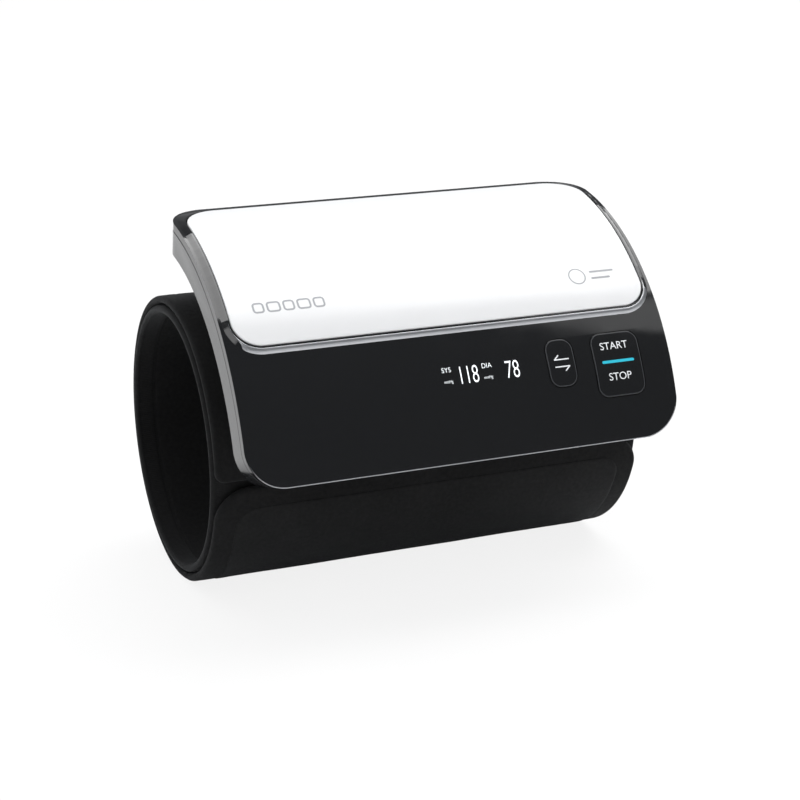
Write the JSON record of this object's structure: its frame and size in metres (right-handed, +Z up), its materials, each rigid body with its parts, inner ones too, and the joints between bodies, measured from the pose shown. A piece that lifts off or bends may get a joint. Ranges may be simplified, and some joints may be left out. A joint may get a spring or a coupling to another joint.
{
  "type": "blood pressure cuff",
  "caption": "Upper-arm blood pressure cuff with a curved monitor unit built in: display, two buttons, pump and cells inside, on a pre-formed fabric cuff with a hook-and-loop flap.",
  "frame": {"origin": "centre of the arm bore, halfway along the cuff", "axes": "+X along the arm bore, to the right as the display is read; +Z up; the display and the flap face -Y"},
  "size_m": [0.123, 0.0996, 0.1002],
  "materials": {
    "gloss_black": "high gloss",
    "gloss_white": "gloss",
    "case_plastic": "fine texture",
    "switch_metal": "plain",
    "display_glass": "smooth",
    "inner_plastic": "satin",
    "circuit_board": "solder mask",
    "chip_plastic": "satin",
    "screw_steel": "zinc plated",
    "copper": "wound",
    "dark_rubber": "soft",
    "cell_jacket": "foil jacket",
    "lining_fabric": "smooth woven",
    "bladder_film": "film",
    "curler_plastic": "sheet",
    "cuff_fabric": "brushed loop fabric",
    "binding_tape": "ribbed tape",
    "hook_tape": "hook tape"
  },
  "bodies": {
    "root": {"front_panel": "gloss_black", "cover_plate": "gloss_white", "back_case": "case_plastic", "start_switch": "switch_metal", "transfer_switch": "switch_metal", "display_module": "display_glass", "display_holder": "inner_plastic", "main_board": "circuit_board", "controller_chip": "chip_plastic", "radio_module": "switch_metal", "pressure_sensor": "chip_plastic", "board_screws": "screw_steel", "case_screws": "screw_steel", "pump_motor": "switch_metal", "pump_head": "inner_plastic", "pump_diaphragm": "dark_rubber", "pump_sleeve": "dark_rubber", "air_manifold": "inner_plastic", "air_hoses": "dark_rubber", "valve_body": "switch_metal", "valve_spring": "screw_steel", "cuff_nipple": "inner_plastic", "battery_cell_1": "cell_jacket", "battery_cell_2": "cell_jacket", "battery_cell_3": "cell_jacket", "battery_cell_4": "cell_jacket", "contact_springs": "screw_steel", "contact_plates": "screw_steel", "saddle_frame": "case_plastic", "saddle_screws": "screw_steel", "cuff_lining": "lining_fabric", "bladder": "bladder_film", "curler": "curler_plastic", "cuff_cover": "cuff_fabric", "edge_binding": "binding_tape", "outer_wrap": "cuff_fabric"},
    "battery_door": {"battery_door": "case_plastic"},
    "start_button": {"start_button": "gloss_black"},
    "transfer_button": {"transfer_button": "gloss_black"},
    "pump_rotor": {"pump_rotor": "copper"},
    "valve_plunger": {"valve_plunger": "screw_steel"},
    "flap": {"cuff_flap": "cuff_fabric", "hook_patch": "hook_tape"}
  },
  "joints": [
    {"name": "battery_door_slide", "type": "slide", "parent": "root", "child": "battery_door", "axis": [0, 0.9455, 0.3256], "range_m": [0, 0.026]},
    {"name": "start_press", "type": "slide", "parent": "root", "child": "start_button", "axis": [0, 0.8922, -0.4517], "range_m": [0, 0.00035], "stiffness_N_per_m": 900},
    {"name": "transfer_press", "type": "slide", "parent": "root", "child": "transfer_button", "axis": [0, 0.8785, -0.4777], "range_m": [0, 0.00035], "stiffness_N_per_m": 900},
    {"name": "pump_spin", "type": "hinge", "parent": "root", "child": "pump_rotor", "pos_m": [-0.028, -0.03168, 0.0383], "axis": [1, 0, 0], "continuous": true},
    {"name": "valve_close", "type": "slide", "parent": "root", "child": "valve_plunger", "axis": [-1, 0, 0], "range_m": [0, 0.0008], "stiffness_N_per_m": 400, "deforming": ["valve_spring"]},
    {"name": "flap_open", "type": "hinge", "parent": "root", "child": "flap", "pos_m": [0, -0.02299, -0.03113], "axis": [1, 0, 0], "range_deg": [0, 60]}
  ]
}
